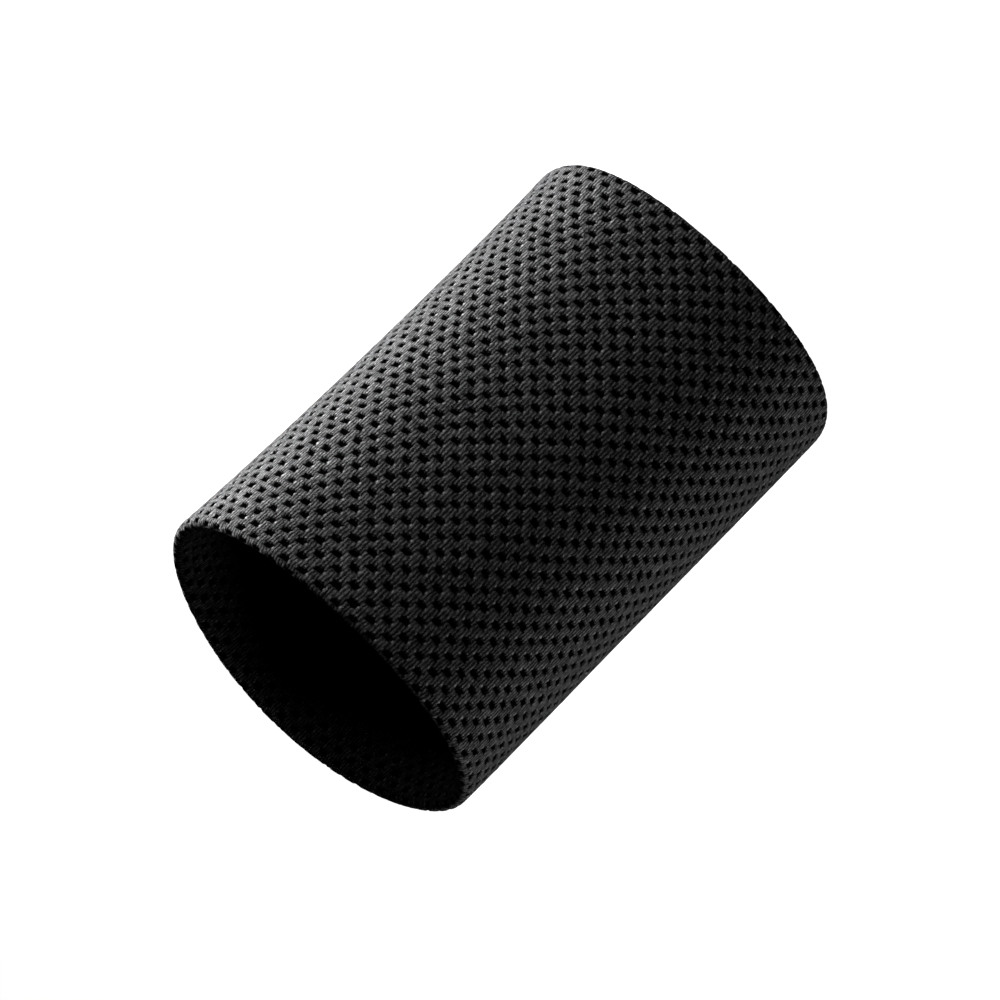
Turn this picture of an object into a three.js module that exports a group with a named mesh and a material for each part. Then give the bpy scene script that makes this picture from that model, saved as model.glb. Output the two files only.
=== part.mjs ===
// Sweat wristband: a seamless tube of eyelet mesh knit whose two ends are turned inwards as hems,
// and a towelling lining whose edges butt against the hem edges inside. Three zigzag lockstitch
// seams hold it together, and each has a face thread on the skin side and a back thread between
// the layers. Units are millimetres. The tube stands on its bottom rim, centred on the Z axis.
import * as THREE from 'three';

// Driving dimensions
const LENGTH = 76; // rim to rim
const OUTER_RADIUS = 26.9;
const MESH_THICKNESS = 0.8;
const FOLD_GAP = 0.4; // between the wall and the turned-in hem, at the rim
const HEM_DEPTH = 14; // rim to hem edge
const HEM_EDGE_RADIUS = 25.2; // outer face of the hem at its edge: it leans away from the wall
const LINING_THICKNESS = 1;
const EDGE_GAP = 0.3; // between edges that butt together
const THREAD_CLEARANCE = 0.3; // between a thread band and the cloth beside it
const THREAD_THICKNESS = 0.3;
const STITCH_WIDTH = 3.6; // width of the zigzag
const SEAM_END_GAP = 0.6; // between the lining seam's threads and those of the hems
const SEAM_ANGLE = -Math.PI / 2; // the lining's seam lies inside the -Y wall

// Faceting
const ROUND_SEGMENTS = 72;
const FOLD_SEGMENTS = 4;

// Derived sizes
const WALL_INNER_RADIUS = OUTER_RADIUS - MESH_THICKNESS;
const HEM_RIM_RADIUS = WALL_INNER_RADIUS - FOLD_GAP;
const LINING_OUTER_RADIUS = HEM_EDGE_RADIUS;
const LINING_INNER_RADIUS = LINING_OUTER_RADIUS - LINING_THICKNESS;
const LINING_BOTTOM = HEM_DEPTH + EDGE_GAP;
const LINING_TOP = LENGTH - LINING_BOTTOM;
const FACE_OUTER_RADIUS = LINING_INNER_RADIUS - THREAD_CLEARANCE;
const FACE_INNER_RADIUS = FACE_OUTER_RADIUS - THREAD_THICKNESS;
const BACK_INNER_RADIUS = LINING_OUTER_RADIUS + THREAD_CLEARANCE;
const BACK_OUTER_RADIUS = BACK_INNER_RADIUS + THREAD_THICKNESS;
const HEM_SEAM_HEIGHT = HEM_DEPTH + EDGE_GAP / 2; // centre of a hem seam, above its rim
const LINING_SEAM_BOTTOM = HEM_SEAM_HEIGHT + STITCH_WIDTH / 2 + SEAM_END_GAP;
const LINING_SEAM_LENGTH = LENGTH - 2 * LINING_SEAM_BOTTOM;

function cloth(color, roughness) {
  return new THREE.MeshStandardMaterial({ color, roughness, metalness: 0 });
}

const meshCloth = cloth(0x1b1b1d, 0.75);
const liningCloth = cloth(0x121214, 0.95);
const threadFibre = cloth(0x252527, 0.6);

function namedMesh(name, geometry, material) {
  const mesh = new THREE.Mesh(geometry, material);
  mesh.name = name;
  return mesh;
}

// Turns a closed [radius, height] outline, listed anticlockwise, about the Z axis.
function turned(outline) {
  const points = [...outline, outline[0]].map(([radius, height]) => new THREE.Vector2(radius, height));
  return new THREE.LatheGeometry(points, ROUND_SEGMENTS).rotateX(Math.PI / 2);
}

// A quarter circle of [radius, height] points from one angle to another, both ends included.
function quarterTurn(centreRadius, centreHeight, size, startAngle, endAngle) {
  return Array.from({ length: FOLD_SEGMENTS + 1 }, (_, step) => {
    const angle = startAngle + ((endAngle - startAngle) * step) / FOLD_SEGMENTS;
    return [centreRadius + size * Math.cos(angle), centreHeight + size * Math.sin(angle)];
  });
}

// One end of the sleeve's section, from the outer wall round the fold to the hem's edge and back
// up inside the fold to the wall. The bottom end is listed; the top end is its mirror image.
function hemOutline() {
  const fold = MESH_THICKNESS;
  return [
    [WALL_INNER_RADIUS, HEM_DEPTH],
    [WALL_INNER_RADIUS, fold],
    [HEM_RIM_RADIUS, fold],
    [HEM_EDGE_RADIUS, HEM_DEPTH],
    [HEM_EDGE_RADIUS - MESH_THICKNESS, HEM_DEPTH],
    ...quarterTurn(HEM_RIM_RADIUS, fold, fold, Math.PI, 1.5 * Math.PI),
    ...quarterTurn(WALL_INNER_RADIUS, fold, fold, 1.5 * Math.PI, 2 * Math.PI),
  ];
}

function outerSleeve() {
  const bottom = hemOutline();
  const top = bottom.map(([radius, height]) => [radius, LENGTH - height]).reverse();
  return namedMesh('outer_sleeve', turned([...bottom, ...top]), meshCloth);
}

// A piece of a tube between two angles about the Z axis.
function tubeSector(innerRadius, outerRadius, startAngle, endAngle, bottom, length) {
  const shape = new THREE.Shape();
  shape.absarc(0, 0, outerRadius, startAngle, endAngle, false);
  shape.absarc(0, 0, innerRadius, endAngle, startAngle, true);
  shape.closePath();
  const share = (endAngle - startAngle) / (2 * Math.PI);
  const curveSegments = Math.ceil(ROUND_SEGMENTS * share) + 1;
  const options = { depth: length, bevelEnabled: false, curveSegments };
  return new THREE.ExtrudeGeometry(shape, options).translate(0, 0, bottom);
}

// The lining is a strip rolled into a tube, so a narrow slit runs where its edges meet.
function liningSleeve() {
  const slitAngle = EDGE_GAP / LINING_INNER_RADIUS;
  const start = SEAM_ANGLE + slitAngle / 2;
  const end = SEAM_ANGLE + 2 * Math.PI - slitAngle / 2;
  const length = LINING_TOP - LINING_BOTTOM;
  const roll = tubeSector(LINING_INNER_RADIUS, LINING_OUTER_RADIUS, start, end, LINING_BOTTOM, length);
  return namedMesh('lining_sleeve', roll, liningCloth);
}

// The band that one thread of a hem's zigzag covers, all round the tube.
function hemThread(name, innerRadius, outerRadius, height) {
  const low = height - STITCH_WIDTH / 2;
  const high = height + STITCH_WIDTH / 2;
  const outline = [
    [innerRadius, low],
    [outerRadius, low],
    [outerRadius, high],
    [innerRadius, high],
  ];
  return namedMesh(name, turned(outline), threadFibre);
}

// The band that one thread of the lining seam's zigzag covers, along the tube.
function liningThread(name, innerRadius, outerRadius) {
  const halfAngle = STITCH_WIDTH / 2 / innerRadius;
  const start = SEAM_ANGLE - halfAngle;
  const end = SEAM_ANGLE + halfAngle;
  const band = tubeSector(innerRadius, outerRadius, start, end, LINING_SEAM_BOTTOM, LINING_SEAM_LENGTH);
  return namedMesh(name, band, threadFibre);
}

const wristband = new THREE.Group();
wristband.add(outerSleeve(), liningSleeve());
const hemSeams = [
  ['top', LENGTH - HEM_SEAM_HEIGHT],
  ['bottom', HEM_SEAM_HEIGHT],
];
for (const [end, height] of hemSeams) {
  wristband.add(hemThread(`${end}_hem_face_thread`, FACE_INNER_RADIUS, FACE_OUTER_RADIUS, height));
  wristband.add(hemThread(`${end}_hem_back_thread`, BACK_INNER_RADIUS, BACK_OUTER_RADIUS, height));
}
wristband.add(liningThread('lining_seam_face_thread', FACE_INNER_RADIUS, FACE_OUTER_RADIUS));
wristband.add(liningThread('lining_seam_back_thread', BACK_INNER_RADIUS, BACK_OUTER_RADIUS));

export default wristband;
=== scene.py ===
"""The looks of a sweat wristband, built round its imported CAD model.

The band is a tube of black eyelet mesh knit, turned in at both rims, with a towelling lining and
three zigzag seams inside. Everything is in metres, in the CAD frame: the band stands on its bottom
rim, centred on the Z axis.
"""

import math

import bpy
import numpy as np
from mathutils import Matrix, Vector


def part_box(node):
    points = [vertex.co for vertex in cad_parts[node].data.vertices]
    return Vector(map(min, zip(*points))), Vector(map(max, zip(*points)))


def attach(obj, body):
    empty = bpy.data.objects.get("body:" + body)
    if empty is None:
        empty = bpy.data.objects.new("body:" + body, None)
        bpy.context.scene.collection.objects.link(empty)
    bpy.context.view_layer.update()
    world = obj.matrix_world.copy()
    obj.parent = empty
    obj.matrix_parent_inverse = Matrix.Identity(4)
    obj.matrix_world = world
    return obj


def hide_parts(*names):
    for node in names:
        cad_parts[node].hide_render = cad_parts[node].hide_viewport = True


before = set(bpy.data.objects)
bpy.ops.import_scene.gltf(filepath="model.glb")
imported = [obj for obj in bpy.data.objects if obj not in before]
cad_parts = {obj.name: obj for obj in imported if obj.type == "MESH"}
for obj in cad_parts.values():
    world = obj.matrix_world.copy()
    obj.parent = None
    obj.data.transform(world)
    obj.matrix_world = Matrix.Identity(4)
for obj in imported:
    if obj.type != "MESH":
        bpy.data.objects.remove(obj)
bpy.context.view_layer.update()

MM = 0.001
ROOT = "root"
rng = np.random.default_rng(20260)

# Sizes that the frame gives
SLEEVE_LOW, SLEEVE_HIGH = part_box("outer_sleeve")
LINING_LOW, LINING_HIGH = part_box("lining_sleeve")
FACE_LOW, FACE_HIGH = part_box("top_hem_face_thread")
BACK_LOW, BACK_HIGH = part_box("top_hem_back_thread")
LINING_SEAM_LOW, LINING_SEAM_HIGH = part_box("lining_seam_face_thread")
LENGTH = SLEEVE_HIGH[2] - SLEEVE_LOW[2]
RADIUS = (SLEEVE_HIGH[0] - SLEEVE_LOW[0]) / 2
MID_HEIGHT = (SLEEVE_HIGH[2] + SLEEVE_LOW[2]) / 2
LINING_RADIUS = (LINING_HIGH[0] - LINING_LOW[0]) / 2
LINING_BOTTOM = LINING_LOW[2]
LINING_TOP = LINING_HIGH[2]
FACE_THREAD_RADIUS = (FACE_HIGH[0] - FACE_LOW[0]) / 2
BACK_THREAD_RADIUS = (BACK_HIGH[0] - BACK_LOW[0]) / 2
STITCH_WIDTH = FACE_HIGH[2] - FACE_LOW[2]
TOP_SEAM_HEIGHT = (FACE_HIGH[2] + FACE_LOW[2]) / 2
SEAM_ANGLE = math.atan2((LINING_SEAM_LOW[1] + LINING_SEAM_HIGH[1]) / 2, 0)

# The knit: staggered columns of eyelets, each column three strands wide
COLUMNS = 112
ROW_HEIGHT = 3.2 * MM
COLUMN_WIDTH = 2 * math.pi * RADIUS / COLUMNS
STRANDS_PER_COLUMN = 3
SPIRAL_ROWS = -2  # how far the knit climbs in one turn
PHASE_ANGLE = math.radians(-90.7)  # of one eyelet, and its height above mid height
PHASE_HEIGHT = 0.56 * MM
CLOTH_THICKNESS = 0.8 * MM
FACE_JITTER = 0.015 * MM

# A cell: a diamond of cloth round an eyelet, with each of its sides in three parts
THIRDS = 3
RING = 4 * THIRDS
NEXT = np.roll(np.arange(RING), -1)

# An eyelet: a ragged star in twelve spokes from the right, pushed in by the loops round it
EYELET_HALF_WIDTH = 0.64 * MM
EYELET_HALF_HEIGHT = 0.54 * MM
EYELET_SQUARENESS = 2.2
SPOKES = (0.96, 1.24, 0.78, 0.76, 0.78, 1.24, 0.96, 1.24, 0.96, 0.6, 0.96, 1.24)
SPOKE_JITTER = 0.13
SHOULDER_SPREAD = 1.22
LIP_DEPTH = 0.13 * MM
LIP_JITTER = 0.02 * MM
# depth of each eyelet's floor, which is painted near-black as a painted shade
SHADE_FLOOR_DEPTH = 0.34 * MM

# The bundle between two eyelets of a column: three strands, joined in pairs in round heads
HEAD_CENTRE = 0.22  # in rows above the eyelet below the bundle
HEAD_FLATNESS = 0.85
STRAND_WANDER = 0.045  # of a column
STRAND_CORE = 0.02  # of a strand's pitch from its middle, as are the next three
STRAND_EDGE = 0.38
STRAND_RAGGEDNESS = 0.2
STRAND_NARROWING = 0.21  # beside an eyelet
NARROWING_START = 0.9 * EYELET_HALF_HEIGHT
NARROWING_REACH = 0.35 * MM
# Strand ends: a nub and bulges, raised in the bump and painted lighter as highlights
NUB_GAP = 0.74 * MM  # from the middle strand's bright end to the next eyelet
NUB_RADIUS = 0.2 * MM
NUB_CORE = 0.35  # of the nub's radius
BULGE_PLACE = 0.43  # columns from the bundle's middle to where it bulges beside an eyelet
BULGE_SIZE = (0.15 * MM, 0.3 * MM)
BULGE_CORE = 0.4  # of the bulge's size

# Shades of the knit, from 0 for the darkest gap to 1 for the brightest strand end. This is painted
# light: painted highlights on the strands and painted shade in the gaps, over the yarn's own black
STRAND_SHADE = 0.6
GAP_SHADE = (0.01, 0.15)  # painted shade in an open gap and in a filled one
EYELET_GAP_SHARE = 0.1  # how much of that is left beside an eyelet, where the painted shade is deepest
GAP_FILL_FROM = (0.52, 0.75)
HEAD_GAP_FILL = 0.12
HEAD_END = 0.45  # rows above the eyelet below
LUCK_SHADE = (0.35, 1.0)  # the duller and the brighter lengths of a strand
FIBRE_SHADE = (0.75, 1.15)
FIBRE_RELIEF = 0.2
KNIT_RELIEF = 0.17 * MM
# the black of the yarn in painted shade, and the painted highlight of a bright strand
KNIT_DARK = (0.003, 0.003, 0.0033)
KNIT_LIGHT = (0.24, 0.241, 0.248)

# Cells of noise to a column and a row, or to a strand and a row for luck
WANDER_CELLS = (2.0, 3.0)
FIBRE_CELLS = (9.0, 14.0)
LUCK_CELLS = (1.7, 4.5)
GAP_FILL_CELLS = (1.3, 2.1)

# Slow waves that keep the rows from being quite straight: turns, length, phase and size
UNEVEN = (
    (3, 9 * MM, 0.4, 0.12 * MM),
    (-7, 5 * MM, 2.0, 0.09 * MM),
    (13, -4 * MM, 5.1, 0.07 * MM),
    (-19, 2.6 * MM, 3.6, 0.05 * MM),
)

# The turned-in rims
FOLD_RADIUS = 1.0 * MM
HEM_EDGE_GAP = 0.3 * MM
HEM_DEPTH = LINING_BOTTOM - SLEEVE_LOW[2] - HEM_EDGE_GAP
HEM_LEAN = math.radians(3.4)
FOLD_TURN = math.pi - HEM_LEAN
STRAIGHT_RUN = LENGTH / 2 - FOLD_RADIUS

# The towelling lining
LOOPS_ROUND = 168
LOOP_ROWS = 52
LINING_BASE = 0.95 * MM
PILE_HEIGHT = 0.3 * MM
LOW_LOOP_SHARE = 0.35  # of the pile's height, between the loops of a column
LOOP_SIZES = (0.55, 1.1)
LOOP_WOBBLE = 0.08 * MM
JOIN_GROOVE = 0.2 * MM

# The seams
THREAD_RADIUS = 0.14 * MM
THREAD_SIDES = 6
STITCH_PITCH = 2.0 * MM
STEPS_PER_STITCH = 6
STITCH_RISE = 0.12 * MM
STITCH_SINK = 0.38 * MM  # how far the stitches on the skin side settle into the cloth

# How the soft tube departs from a true cylinder: narrower at the top, waisted, with uneven rims
TAPER = 0.022
WAIST = 0.35 * MM
RIM_SHIFT = 0.4 * MM
RIM_SHIFT_REACH = 12 * MM
RIM_REACH = 24 * MM
FLOOR_GAP = 0.1 * MM
TOP_RIM = {"front": -1.91 * MM, "right": 0.24 * MM, "saddle": -0.56 * MM, "twist": -0.09 * MM}
BOTTOM_RIM = {"front": 0.17 * MM, "right": 0.5 * MM, "saddle": -1.48 * MM, "twist": -0.13 * MM}

# Lights: low ones for the outside, and weak ones just high enough to reach into the mouth,
# with bearings and spreads in degrees, round from the front to the right, and powers in watts
LIGHT_DISTANCE = 0.55
LIGHT_DEPTH = 0.06
LOW_LIGHT = 0.03
HIGH_LIGHT = 0.135
AT_FOOT = {"aim_height": 0, "spread": 60}
SOFTBOXES = {
    "key": {"bearing": 84, "height": LOW_LIGHT, "width": 0.6, "power": 4.8},
    "edge": {"bearing": 126, "height": LOW_LIGHT, "width": 0.3, "power": 2.4, **AT_FOOT},
    "fill": {"bearing": -60, "height": LOW_LIGHT, "width": 0.3, "power": 0.45},
    "kicker": {"bearing": -110, "height": LOW_LIGHT, "width": 0.3, "power": 2.3},
    "mouth_left": {"bearing": -85, "height": HIGH_LIGHT, "width": 0.3, "power": 0.32},
    "mouth_right": {"bearing": 70, "height": HIGH_LIGHT, "width": 0.3, "power": 0.17},
}
FLOOR_REACH = 4.0

# Camera, from the photograph's viewing angle
CAMERA_DISTANCE = 0.3107
CAMERA_ELEVATION = math.radians(20.9)
CAMERA_ROLL = math.radians(-134.86)
CAMERA_LENS = 80.0
CAMERA_SENSOR = 36.0
CAMERA_NEAREST = 0.01
AIM_OFFSET = Vector((-0.88 * MM, 0, 1.24 * MM))


def rim_drift(angle, rim):
    """How far a rim rises at each angle round the tube."""
    drift = rim["right"] * np.cos(angle) - rim["front"] * np.sin(angle)
    return drift + rim["saddle"] * np.cos(2 * angle) + rim["twist"] * np.sin(2 * angle)


STAND_LIFT = FLOOR_GAP - rim_drift(np.linspace(0, 2 * math.pi, COLUMNS), BOTTOM_RIM).min()


def soften(points):
    """Moves points of the true cylinder to where the soft cloth stands."""
    out = points.copy()
    height = points[:, 2] - MID_HEIGHT
    share = height / (LENGTH / 2)
    scale = 1 - TAPER * share + WAIST / RADIUS * (share**2 - 1 / 3)
    out[:, :2] *= scale[:, None]
    angle = np.arctan2(points[:, 1], points[:, 0])
    near_top = np.exp(-np.maximum(LENGTH / 2 - height, 0) / RIM_REACH)
    near_bottom = np.exp(-np.maximum(LENGTH / 2 + height, 0) / RIM_REACH)
    out[:, 2] += rim_drift(angle, TOP_RIM) * near_top + rim_drift(angle, BOTTOM_RIM) * near_bottom
    to_rim = np.maximum(LENGTH / 2 - np.abs(height), 0)
    out[:, 0] += RIM_SHIFT * np.exp(-to_rim / RIM_SHIFT_REACH)
    out[:, 2] += STAND_LIFT
    return out


def fold_profile(run):
    """Radius, height and outward normal of the cloth's face, at a run along it from mid height.

    The run goes up the outside, over the rim's fold and down the hem inside; a negative run does
    the same at the bottom.
    """
    side = np.where(run < 0, -1.0, 1.0)
    run = np.abs(run)
    turn = np.clip((run - STRAIGHT_RUN) / FOLD_RADIUS, 0, FOLD_TURN)
    down = np.maximum(run - STRAIGHT_RUN - FOLD_RADIUS * FOLD_TURN, 0)
    out, up = np.cos(turn), np.sin(turn)
    radius = RADIUS - FOLD_RADIUS + FOLD_RADIUS * out - down * math.sin(HEM_LEAN)
    height = np.minimum(run, STRAIGHT_RUN) + FOLD_RADIUS * up - down * math.cos(HEM_LEAN)
    return radius, side * height, out, side * up


def on_sleeve(across, run, depth):
    """Points on the mesh cloth. across and run are along the cloth, depth is below its face."""
    angle = across / RADIUS + PHASE_ANGLE
    for turns, length, phase, size in UNEVEN:
        wave = size * np.sin(turns * angle + run / length + phase)
        run = run + wave
        angle = angle + wave * math.cos(phase) / RADIUS
    radius, height, out, up = fold_profile(run)
    radius = radius - depth * out
    height = height - depth * up
    points = np.stack([radius * np.cos(angle), radius * np.sin(angle), MID_HEIGHT + height], 1)
    return soften(points)


def new_object(name, vertices, faces, uvs=None):
    """A smooth mesh object. uvs is one pair for each corner of each face."""
    mesh = bpy.data.meshes.new(name)
    mesh.from_pydata(vertices.tolist(), [], faces)
    if uvs is not None:
        layer = mesh.uv_layers.new(name="Cloth")
        layer.data.foreach_set("uv", uvs.astype(np.float32).ravel())
    mesh.polygons.foreach_set("use_smooth", [True] * len(faces))
    mesh.update()
    obj = bpy.data.objects.new(name, mesh)
    bpy.context.scene.collection.objects.link(obj)
    return obj


# ---- the mesh cloth ----


def diamond_ring():
    """Border points of a cell, anticlockwise, in thirds of a half repeat."""
    corners = np.array([(THIRDS, 0), (0, THIRDS), (-THIRDS, 0), (0, -THIRDS)])
    following = np.roll(corners, -1, 0)
    return np.concatenate(
        [
            [start + (end - start) * part // THIRDS for part in range(THIRDS)]
            for start, end in zip(corners, following)
        ]
    )


def eyelet_outlines(count):
    """Lip outline of each eyelet, no two alike."""
    turn = np.arange(RING) * 2 * math.pi / RING
    power = 2 / EYELET_SQUARENESS
    across = np.sign(np.cos(turn)) * np.abs(np.cos(turn)) ** power
    along = np.sign(np.sin(turn)) * np.abs(np.sin(turn)) ** power
    spokes = np.array(SPOKES) * rng.normal(1, SPOKE_JITTER, (count, RING))
    spokes *= rng.normal(1, SPOKE_JITTER / 2, (count, 1))
    return EYELET_HALF_WIDTH * across * spokes, EYELET_HALF_HEIGHT * along * spokes


def cell_run(column, row):
    """Run along the cloth of a lattice point. Rows count half repeats, because columns stagger."""
    return PHASE_HEIGHT + (row / 2 + column * SPIRAL_ROWS / COLUMNS) * ROW_HEIGHT


def knit_cells():
    """Column and row of every eyelet whose cell fits between the two raw hem edges."""
    end = STRAIGHT_RUN + FOLD_RADIUS * FOLD_TURN + HEM_DEPTH - FOLD_RADIUS
    most = math.ceil(2 * end / ROW_HEIGHT) + abs(SPIRAL_ROWS)
    columns = np.arange(-COLUMNS // 2, COLUMNS // 2)
    column, row = np.meshgrid(columns, np.arange(-most, most + 1), indexing="ij")
    staggered = (column + row) % 2 == 0
    fits = np.abs(cell_run(column, row)) + ROW_HEIGHT / 2 < end
    return column[staggered & fits], row[staggered & fits]


def used_once(pairs):
    """Which of these vertex pairs, each an edge, comes only once, whatever its direction."""
    _, place, uses = np.unique(np.sort(pairs, 1), axis=0, return_inverse=True, return_counts=True)
    return uses[place.ravel()] == 1


def build_mesh_cloth():
    """The outer sleeve: a diamond of cloth round each eyelet, joined into one closed solid.

    On the face, each cell goes from its border in to the eyelet's shoulder and lip, and down to a
    floor of painted shade, near-black, that stands for the dark deep in the eyelet. The back is
    plain.
    """
    column, row = knit_cells()
    count = len(column)
    border = np.stack([column, row], 1)[:, None] * THIRDS + diamond_ring()
    turns = np.floor_divide(border[..., 0] + COLUMNS * THIRDS // 2, COLUMNS * THIRDS)
    wrapped = border + turns[..., None] * np.array([-COLUMNS, 2 * SPIRAL_ROWS]) * THIRDS
    shared, index = np.unique(wrapped.reshape(-1, 2), axis=0, return_inverse=True)
    index = index.reshape(count, RING)
    shared_depth = rng.normal(0, FACE_JITTER, len(shared))
    shared_across = shared[:, 0] * COLUMN_WIDTH / THIRDS
    shared_run = cell_run(shared[:, 0] / THIRDS, shared[:, 1] / THIRDS)
    centre_across = column * COLUMN_WIDTH
    centre_run = cell_run(column, row)
    lip_across, lip_run = eyelet_outlines(count)

    def ring_round_eyelets(spread, depth):
        across = centre_across[:, None] + lip_across * spread
        run = centre_run[:, None] + lip_run * spread
        return on_sleeve(across.ravel(), run.ravel(), depth)

    lip_depth = LIP_DEPTH + rng.normal(0, LIP_JITTER, count * RING)
    layers = [
        on_sleeve(shared_across, shared_run, shared_depth),
        ring_round_eyelets(SHOULDER_SPREAD, 0),
        ring_round_eyelets(1, lip_depth),
        on_sleeve(centre_across, centre_run, SHADE_FLOOR_DEPTH),
        on_sleeve(shared_across, shared_run, CLOTH_THICKNESS),
    ]
    starts = np.cumsum([0] + [len(layer) for layer in layers])
    rings = np.arange(count * RING).reshape(count, RING)
    shoulder = starts[1] + rings
    lip = starts[2] + rings
    centre = np.broadcast_to(starts[3] + np.arange(count)[:, None], (count, RING))
    back = starts[4] + index[:, ::THIRDS]

    # places in the cloth's own pattern, for the material: columns across and rows along
    pattern_centre = np.stack([column, row / 2], 1)[:, None]
    pattern_lip = np.stack([lip_across / COLUMN_WIDTH, lip_run / ROW_HEIGHT], -1)
    border_uv = border / np.array([THIRDS, 2 * THIRDS])
    shoulder_uv = pattern_centre + pattern_lip * SHOULDER_SPREAD
    lip_uv = pattern_centre + pattern_lip
    centre_uv = np.broadcast_to(pattern_centre, lip_uv.shape)

    def band(outer, inner):
        return np.stack([outer, outer[:, NEXT], inner[:, NEXT], inner], 2)

    cloth_faces = np.concatenate([band(index, shoulder), band(shoulder, lip)]).reshape(-1, 4)
    cloth_uvs = np.concatenate([band(border_uv, shoulder_uv), band(shoulder_uv, lip_uv)])
    shade_floor_faces = np.stack([lip, lip[:, NEXT], centre], 2).reshape(-1, 3)
    shade_floor_uvs = np.stack([lip_uv, lip_uv[:, NEXT], centre_uv], 2)
    back_faces = back[:, ::-1]
    back_uvs = border_uv[:, ::THIRDS][:, ::-1]

    # a wall from face to back closes each diamond side that no other cell shares
    side = np.arange(RING).reshape(4, THIRDS)
    side = np.concatenate([side, NEXT[side[:, -1:]]], 1)
    fronts = index[:, side].reshape(-1, THIRDS + 1)
    open_side = used_once(fronts[:, [0, -1]])
    fronts = fronts[open_side]
    walls = np.concatenate([fronts[:, ::-1], starts[4] + fronts[:, [0, -1]]], 1)
    front_uvs = border_uv[:, side].reshape(-1, THIRDS + 1, 2)[open_side]
    wall_uvs = np.concatenate([front_uvs[:, ::-1], front_uvs[:, [0, -1]]], 1)

    faces = cloth_faces.tolist() + shade_floor_faces.tolist() + back_faces.tolist() + walls.tolist()
    uvs = [part.reshape(-1, 2) for part in (cloth_uvs, shade_floor_uvs, back_uvs, wall_uvs)]
    obj = new_object("mesh_cloth", np.concatenate(layers), faces, np.concatenate(uvs))
    # the eyelet floors take the second material, their painted shade
    slots = np.zeros(len(faces), np.int32)
    slots[len(cloth_faces) : len(cloth_faces) + len(shade_floor_faces)] = 1
    obj.data.polygons.foreach_set("material_index", slots)
    return obj


# ---- the towelling lining ----


def build_lining():
    """The lining: a closed strip whose skin side stands up in rows of small loops."""
    columns = 2 * LOOPS_ROUND
    rows = 2 * LOOP_ROWS
    angle = SEAM_ANGLE + np.arange(columns) * 2 * math.pi / columns
    height = np.linspace(LINING_BOTTOM, LINING_TOP, rows + 1)
    pile = np.zeros((columns, rows + 1))
    pile[1::2, 1::2] = 1
    pile[1::2, 2:-1:2] = LOW_LOOP_SHARE
    pile = pile * rng.uniform(*LOOP_SIZES, pile.shape) * PILE_HEIGHT
    pile[0] = -JOIN_GROOVE
    wobble = rng.normal(0, LOOP_WOBBLE, (2, columns, rows + 1))
    wobble[:, :, [0, -1]] = 0
    inner_radius = LINING_RADIUS - LINING_BASE - pile
    inner_angle = angle[:, None] + wobble[0] / LINING_RADIUS
    inner_height = height[None, :] + wobble[1]
    inner = np.stack(
        [inner_radius * np.cos(inner_angle), inner_radius * np.sin(inner_angle), inner_height], -1
    )
    outer = np.stack(
        [
            np.broadcast_to(LINING_RADIUS * np.cos(angle)[:, None], (columns, 2)),
            np.broadcast_to(LINING_RADIUS * np.sin(angle)[:, None], (columns, 2)),
            np.broadcast_to(height[[-1, 0]], (columns, 2)),
        ],
        -1,
    )
    rings = np.concatenate([inner, outer], 1)
    count = rings.shape[1]
    index = np.arange(columns * count).reshape(columns, count)
    following = np.roll(index, -1, 0)
    up = np.roll(np.arange(count), -1)
    faces = np.stack([index, index[:, up], following[:, up], following], -1).reshape(-1, 4)
    return new_object("towelling_lining", soften(rings.reshape(-1, 3)), faces.tolist())


# ---- the seams ----


def tube(name, path, closed):
    """A round thread of THREAD_RADIUS along a path."""
    count = len(path)
    ahead = np.roll(path, -1, 0) - np.roll(path, 1, 0)
    if not closed:
        ahead[0] = path[1] - path[0]
        ahead[-1] = path[-1] - path[-2]
    ahead /= np.linalg.norm(ahead, axis=1)[:, None]
    out = path * np.array([1, 1, 0])
    out /= np.linalg.norm(out, axis=1)[:, None]
    side = np.cross(ahead, out)
    side /= np.linalg.norm(side, axis=1)[:, None]
    out = np.cross(side, ahead)
    turn = np.arange(THREAD_SIDES) * 2 * math.pi / THREAD_SIDES
    circle = np.cos(turn)[:, None] * out[:, None] + np.sin(turn)[:, None] * side[:, None]
    vertices = (path[:, None] + THREAD_RADIUS * circle).reshape(-1, 3)
    index = np.arange(count * THREAD_SIDES).reshape(count, THREAD_SIDES)
    around = np.roll(index, -1, 1)
    last = count if closed else count - 1
    following = np.roll(index, -1, 0)
    following_around = np.roll(around, -1, 0)
    faces = np.stack([index, around, following_around, following], -1)[:last].reshape(-1, 4)
    faces = faces.tolist()
    if not closed:
        faces += [index[0][::-1].tolist(), index[-1].tolist()]
    return new_object(name, vertices, faces)


def zigzag(stitches, closed):
    """Share of the way along, sideways place from -1 to 1, and rise off the cloth, of each step."""
    steps = stitches * STEPS_PER_STITCH + (0 if closed else 1)
    along = np.arange(steps) / STEPS_PER_STITCH
    within = along % 2
    sideways = np.where(within < 1, 2 * within - 1, 3 - 2 * within)
    rise = np.sin(math.pi * (along % 1))
    return along / stitches, sideways, rise


def hem_seam(name, radius, inward, height):
    """A zigzag thread all round the tube. inward is 1 on the skin side and -1 at the back."""
    stitches = 2 * round(math.pi * radius / STITCH_PITCH)
    share, sideways, rise = zigzag(stitches, True)
    angle = share * 2 * math.pi
    reach = STITCH_WIDTH / 2 - THREAD_RADIUS
    r = radius - inward * (STITCH_RISE * rise)
    path = np.stack([r * np.cos(angle), r * np.sin(angle), height + sideways * reach], 1)
    return tube(name, soften(path), True)


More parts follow.
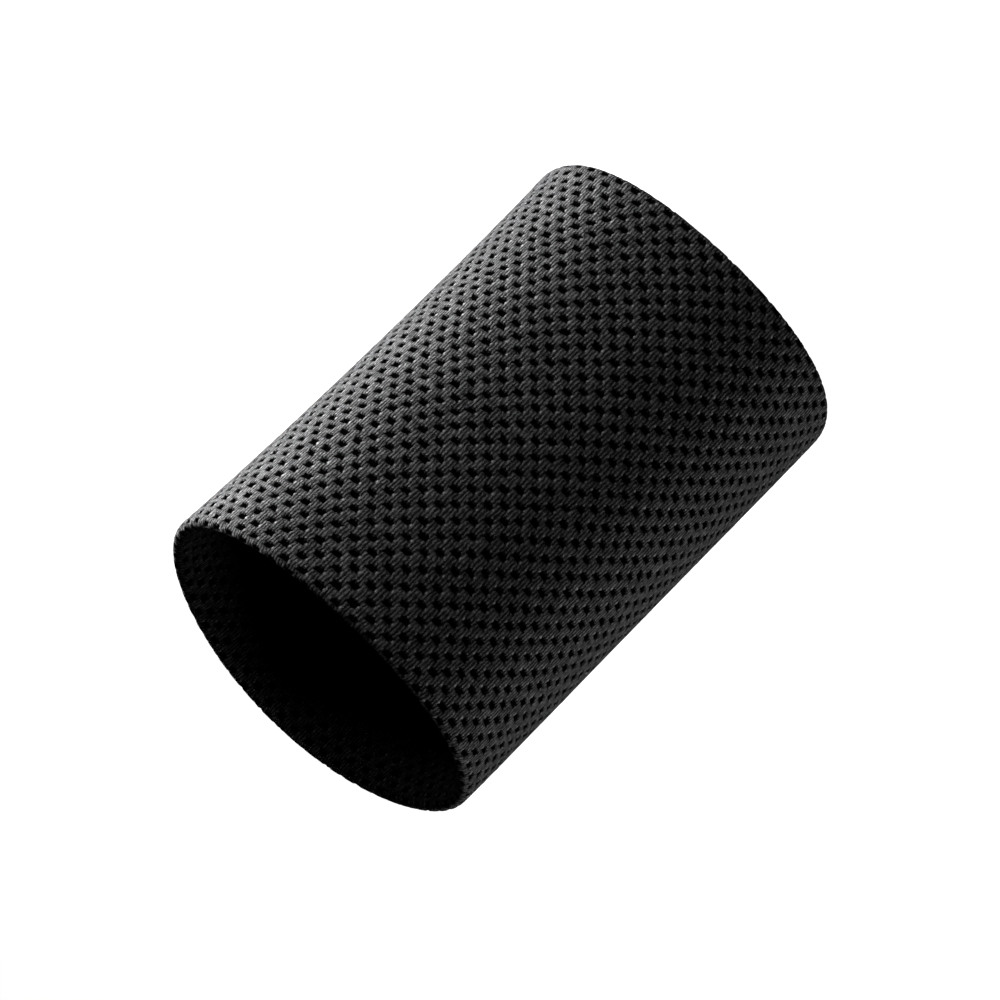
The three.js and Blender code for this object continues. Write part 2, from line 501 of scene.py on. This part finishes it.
def lining_seam(name, radius, inward):
    """A zigzag thread up the lining's join."""
    low, high = LINING_SEAM_LOW[2], LINING_SEAM_HIGH[2]
    stitches = round((high - low) / STITCH_PITCH)
    share, sideways, rise = zigzag(stitches, False)
    reach = STITCH_WIDTH / 2 - THREAD_RADIUS
    angle = SEAM_ANGLE + sideways * reach / radius
    r = radius - inward * (STITCH_RISE * rise)
    height = low + THREAD_RADIUS + share * (high - low - 2 * THREAD_RADIUS)
    path = np.stack([r * np.cos(angle), r * np.sin(angle), height], 1)
    return tube(name, soften(path), False)


# ---- materials ----


class Graph:
    """Small helper that adds a material's shader nodes and links them."""

    def __init__(self, name):
        self.material = bpy.data.materials.new(name)
        self.material.use_nodes = True
        self.tree = self.material.node_tree
        self.shader = self.tree.nodes["Principled BSDF"]

    def node(self, kind, **settings):
        made = self.tree.nodes.new(kind)
        for key, value in settings.items():
            setattr(made, key, value)
        return made

    def link(self, source, target):
        self.tree.links.new(source, target)

    def feed(self, name, source):
        """Links a source to an input of the shader."""
        self.link(source, self.shader.inputs[name])

    def hold(self, **values):
        """Sets inputs of the shader to constants. An underscore stands for a space."""
        for name, value in values.items():
            self.shader.inputs[name.replace("_", " ")].default_value = value

    def math(self, operation, *terms):
        made = self.node("ShaderNodeMath", operation=operation)
        for socket, term in zip(made.inputs, terms):
            if isinstance(term, (int, float)):
                socket.default_value = term
            else:
                self.link(term, socket)
        return made.outputs[0]

    def add(self, a, b):
        return self.math("ADD", a, b)

    def minus(self, a, b):
        return self.math("SUBTRACT", a, b)

    def times(self, a, b):
        return self.math("MULTIPLY", a, b)

    def size(self, a):
        return self.math("ABSOLUTE", a)

    def larger(self, a, b):
        return self.math("MAXIMUM", a, b)

    def distance(self, across, along):
        square = self.times(along, along)
        return self.math("SQRT", self.math("MULTIPLY_ADD", across, across, square))

    def range(self, value, from_low, from_high, to_low, to_high, curve="LINEAR"):
        made = self.node("ShaderNodeMapRange", interpolation_type=curve)
        self.link(value, made.inputs["Value"])
        made.inputs["From Min"].default_value = from_low
        made.inputs["From Max"].default_value = from_high
        made.inputs["To Min"].default_value = to_low
        made.inputs["To Max"].default_value = to_high
        return made.outputs[0]

    def fade(self, value, full, none):
        """1 up to one value, falling smoothly to 0 at the other."""
        return self.range(value, full, none, 1.0, 0.0, "SMOOTHSTEP")

    def spread(self, noise, low, high, reach=0.2):
        """Spreads noise, which mostly keeps within reach of a half, from low to high."""
        return self.range(noise, 0.5 - reach, 0.5 + reach, low, high)

    def noise(self, detail, cells, place, dimensions="3D"):
        made = self.node("ShaderNodeTexNoise", noise_dimensions=dimensions)
        made.inputs["Scale"].default_value = cells
        made.inputs["Detail"].default_value = detail
        self.link(place, made.inputs["Vector"])
        return made.outputs[0]

    def cloth_noise(self, across, along, cells, detail):
        """Noise with so many cells to a unit across and along the cloth."""
        place = self.node("ShaderNodeCombineXYZ")
        self.link(self.times(across, cells[0]), place.inputs[0])
        self.link(self.times(along, cells[1]), place.inputs[1])
        return self.noise(detail, 1.0, place.outputs[0], "2D")

    def solid_noise(self, cells, detail):
        """Noise with so many cells to a metre of the piece."""
        place = self.node("ShaderNodeTexCoord")
        return self.noise(detail, cells, place.outputs["Object"])

    def mix(self, factor, dark, light):
        made = self.node("ShaderNodeMix", data_type="RGBA")
        self.link(factor, made.inputs[0])
        made.inputs[6].default_value = (*dark, 1)
        made.inputs[7].default_value = (*light, 1)
        return made.outputs[2]

    def bump(self, height, strength, distance):
        made = self.node("ShaderNodeBump")
        made.inputs["Strength"].default_value = strength
        made.inputs["Distance"].default_value = distance
        self.link(height, made.inputs["Height"])
        self.feed("Normal", made.outputs[0])


def knit_place(g):
    """Where a point lies in the knit: u, v, its column, and x and y within the bundle there.

    x is in columns from the bundle's middle, and y in rows above the eyelet below the bundle.
    """
    uv = g.node("ShaderNodeUVMap", uv_map="Cloth")
    split = g.node("ShaderNodeSeparateXYZ")
    g.link(uv.outputs[0], split.inputs[0])
    u, v = split.outputs[0], split.outputs[1]
    column = g.math("ROUND", u)
    x = g.minus(u, column)
    stagger = g.math("MULTIPLY_ADD", g.math("PINGPONG", column, 1.0), -0.5, v)
    return u, v, column, x, g.math("FRACT", stagger)


def eyelet_nearness(g, x, y):
    """How much the strands narrow near the eyelets, of this column and of the next."""
    across = g.times(x, COLUMN_WIDTH)
    own = g.distance(across, g.times(g.math("PINGPONG", y, 0.5), ROW_HEIGHT))
    beyond = g.math("MULTIPLY_ADD", g.size(x), -COLUMN_WIDTH, COLUMN_WIDTH)
    next_one = g.distance(beyond, g.times(g.minus(y, 0.5), ROW_HEIGHT))
    nearest = g.math("MINIMUM", own, next_one)
    end = NARROWING_START + NARROWING_REACH
    return g.range(nearest, NARROWING_START, end, STRAND_NARROWING, 0.0)


def strand_ridge(g, side, y, fibre, narrowing):
    """The ridges of three strands, which bend round where they join in pairs in the heads."""
    half_pitch = 0.5 / STRANDS_PER_COLUMN
    lobe = g.minus(g.size(side), half_pitch)
    above = g.larger(g.minus(HEAD_CENTRE, y), 0.0)
    above = g.times(above, HEAD_FLATNESS * ROW_HEIGHT / COLUMN_WIDTH)
    offside = g.minus(g.distance(lobe, above), half_pitch)
    ragged = g.spread(fibre, -STRAND_RAGGEDNESS, STRAND_RAGGEDNESS, reach=0.25)
    ragged = g.math("MULTIPLY_ADD", offside, STRANDS_PER_COLUMN, ragged)
    return g.fade(g.add(g.size(ragged), narrowing), STRAND_CORE, STRAND_EDGE)


def strand_ends(g, x, y):
    """Bright ends, raised in the bump and painted as highlights: a nub before the next eyelet, and
    a bulge beside those to left and right.
    """
    before = g.math("MULTIPLY_ADD", y, ROW_HEIGHT, NUB_GAP - ROW_HEIGHT)
    nub = g.distance(g.times(x, COLUMN_WIDTH), before)
    nub = g.fade(nub, NUB_CORE * NUB_RADIUS, NUB_RADIUS)
    across = g.times(g.minus(g.size(x), BULGE_PLACE), COLUMN_WIDTH / BULGE_SIZE[0])
    along = g.times(g.minus(y, 0.5), ROW_HEIGHT / BULGE_SIZE[1])
    bulge = g.fade(g.distance(across, along), BULGE_CORE, 1.0)
    return g.larger(nub, bulge)


def strand_luck(g, column, side, v):
    """Each strand has brighter and duller lengths."""
    strand = g.math("ROUND", g.times(side, STRANDS_PER_COLUMN))
    strand = g.math("MULTIPLY_ADD", column, STRANDS_PER_COLUMN, strand)
    return g.spread(g.cloth_noise(strand, v, LUCK_CELLS, 1), *LUCK_SHADE)


def gap_shade(g, u, v, y, narrowing):
    """The gaps' painted shade: less where they fill, in the heads and in random patches, and
    deepest beside an eyelet.
    """
    gap_fill = g.cloth_noise(u, v, GAP_FILL_CELLS, 1)
    gap_fill = g.add(g.range(y, HEAD_CENTRE, HEAD_END, HEAD_GAP_FILL, 0.0), gap_fill)
    gap = g.range(gap_fill, *GAP_FILL_FROM, *GAP_SHADE)
    # deeper painted shade in the gaps beside an eyelet
    return g.times(gap, g.range(narrowing, 0.0, STRAND_NARROWING, 1.0, EYELET_GAP_SHARE))


def mesh_cloth_material():
    """Black polyester knit: bundles of strands along the tube, painted lighter as highlights, with
    painted shade in the gaps between.
    """
    g = Graph("mesh_knit")
    u, v, column, x, y = knit_place(g)
    wander = g.cloth_noise(u, v, WANDER_CELLS, 1)
    side = g.add(x, g.spread(wander, -STRAND_WANDER, STRAND_WANDER))
    fibre = g.cloth_noise(u, v, FIBRE_CELLS, 2)
    narrowing = eyelet_nearness(g, x, y)
    ridge = strand_ridge(g, side, y, fibre, narrowing)
    ends = strand_ends(g, x, y)
    luck = strand_luck(g, column, side, v)

    g.bump(g.math("MULTIPLY_ADD", fibre, FIBRE_RELIEF, g.larger(ridge, ends)), 1.0, KNIT_RELIEF)
    # painted light: the strands' tone is a painted highlight and the gaps' tone painted shade
    shade = g.times(ridge, g.times(luck, STRAND_SHADE))
    # the ends' painted highlights, over their raised relief
    shade = g.larger(shade, g.times(ends, luck))
    shade = g.add(shade, gap_shade(g, u, v, y, narrowing))
    shade = g.times(shade, g.spread(fibre, *FIBRE_SHADE))
    g.feed("Base Color", g.mix(shade, KNIT_DARK, KNIT_LIGHT))
    g.feed("Roughness", g.range(shade, 0.0, 1.0, 0.8, 0.5))
    g.hold(Specular_IOR_Level=0.04, Sheen_Weight=0.01, Sheen_Roughness=0.4)
    return g.material


def eyelet_painted_shade_material():
    """Painted shade: a near-black floor in each eyelet, standing for the dark deep in a hole
    through the cloth.
    """
    g = Graph("eyelet_painted_shade")
    fuzz = g.solid_noise(4000, 2)
    g.feed("Base Color", g.mix(fuzz, (0.0, 0.0, 0.0), (0.0015, 0.0015, 0.0015)))
    g.hold(Roughness=1.0, Specular_IOR_Level=0.0)
    return g.material


def towelling_material():
    """Matte black cotton loops."""
    g = Graph("towelling")
    loops = g.solid_noise(1400, 3)
    g.feed("Base Color", g.mix(loops, (0.004, 0.004, 0.005), (0.022, 0.022, 0.024)))
    g.feed("Roughness", g.spread(loops, 0.85, 1.0))
    g.bump(loops, 0.8, 0.2 * MM)
    g.hold(Sheen_Weight=0.2)
    return g.material


def thread_material():
    """Twisted black polyester sewing thread."""
    g = Graph("sewing_thread")
    twist = g.solid_noise(5200, 2)
    g.feed("Base Color", g.mix(twist, (0.01, 0.01, 0.011), (0.05, 0.05, 0.054)))
    g.feed("Roughness", g.spread(twist, 0.45, 0.7))
    g.bump(twist, 0.6, 0.05 * MM)
    g.hold(Sheen_Weight=0.2)
    return g.material


def floor_material():
    """Plain white, lit from within like a light table, so that shadows stay faint."""
    g = Graph("white_floor")
    g.hold(Base_Color=(0.9, 0.9, 0.9, 1), Roughness=1.0, Specular_IOR_Level=0.0)
    g.hold(Emission_Color=(1, 1, 1, 1), Emission_Strength=1.0)
    return g.material


# ---- stage ----


def make_floor():
    """A plain white floor, which like a flagged studio floor throws no light up at the band."""
    mesh = bpy.data.meshes.new("floor")
    signs = [(-1, -1), (1, -1), (1, 1), (-1, 1)]
    corners = [(x * FLOOR_REACH, y * FLOOR_REACH, 0) for x, y in signs]
    mesh.from_pydata(corners, [], [(0, 1, 2, 3)])
    floor = bpy.data.objects.new("floor", mesh)
    floor.data.materials.append(floor_material())
    floor.visible_diffuse = False
    floor.visible_glossy = False
    bpy.context.scene.collection.objects.link(floor)


def make_world():
    """A white room that only the camera sees, so that the softboxes alone shape the band."""
    world = bpy.data.worlds.new("studio")
    world.use_nodes = True
    background = world.node_tree.nodes["Background"]
    background.inputs["Color"].default_value = (1, 1, 1, 1)
    background.inputs["Strength"].default_value = 1.0
    world.cycles_visibility.diffuse = False
    world.cycles_visibility.glossy = False
    bpy.context.scene.world = world


def make_softbox(name, bearing, height, width, power, aim_height=MID_HEIGHT, spread=180):
    """A softbox out of the camera's sight. A grid over it narrows its spread, in degrees."""
    light = bpy.data.lights.new(name, "AREA")
    light.shape = "RECTANGLE"
    light.size = width
    light.size_y = LIGHT_DEPTH
    light.energy = power
    light.spread = math.radians(spread)
    obj = bpy.data.objects.new(name, light)
    angle = math.radians(bearing)
    across = Vector((math.sin(angle), -math.cos(angle), 0))
    obj.location = across * LIGHT_DISTANCE + Vector((0, 0, height))
    aim = Vector((0, 0, aim_height)) - obj.location
    obj.rotation_euler = aim.to_track_quat("-Z", "Y").to_euler()
    obj.visible_camera = False
    bpy.context.scene.collection.objects.link(obj)


def make_camera():
    """The photograph's view: low over the front, rolled so that the top points down and left."""
    data = bpy.data.cameras.new("camera")
    data.lens = CAMERA_LENS
    data.sensor_width = CAMERA_SENSOR
    data.clip_start = CAMERA_NEAREST
    camera = bpy.data.objects.new("camera", data)
    aim = Vector((0, 0, MID_HEIGHT + STAND_LIFT)) + AIM_OFFSET
    back = Vector((0, -math.cos(CAMERA_ELEVATION), math.sin(CAMERA_ELEVATION)))
    upright = (-back).to_track_quat("-Z", "Y").to_matrix().to_4x4()
    roll = Matrix.Rotation(CAMERA_ROLL, 4, "Z")
    camera.matrix_world = Matrix.Translation(aim + back * CAMERA_DISTANCE) @ upright @ roll
    bpy.context.scene.collection.objects.link(camera)
    bpy.context.scene.camera = camera


# ---- put it together ----


def finish_piece(piece, material, node):
    """Gives a piece its material and body, and hides the CAD node that it stands for."""
    piece.data.materials.append(material)
    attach(piece, ROOT)
    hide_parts(node)


make_camera()

mesh_cloth = build_mesh_cloth()
finish_piece(mesh_cloth, mesh_cloth_material(), "outer_sleeve")
# second slot: the painted shade on the eyelet floors
mesh_cloth.data.materials.append(eyelet_painted_shade_material())

lining = build_lining()
finish_piece(lining, towelling_material(), "lining_sleeve")

thread = thread_material()
face_radius = FACE_THREAD_RADIUS - THREAD_RADIUS + STITCH_SINK
back_radius = BACK_THREAD_RADIUS - THREAD_RADIUS
seam_heights = {"top": TOP_SEAM_HEIGHT, "bottom": 2 * MID_HEIGHT - TOP_SEAM_HEIGHT}
for end, seam_height in seam_heights.items():
    face = hem_seam(f"{end}_hem_face_zigzag", face_radius, 1, seam_height)
    finish_piece(face, thread, f"{end}_hem_face_thread")
    back = hem_seam(f"{end}_hem_back_zigzag", back_radius, -1, seam_height)
    finish_piece(back, thread, f"{end}_hem_back_thread")
face = lining_seam("lining_face_zigzag", face_radius, 1)
finish_piece(face, thread, "lining_seam_face_thread")
back = lining_seam("lining_back_zigzag", back_radius, -1)
finish_piece(back, thread, "lining_seam_back_thread")

make_floor()
make_world()
for softbox, settings in SOFTBOXES.items():
    make_softbox(softbox, **settings)
bpy.context.scene.view_settings.view_transform = "Standard"
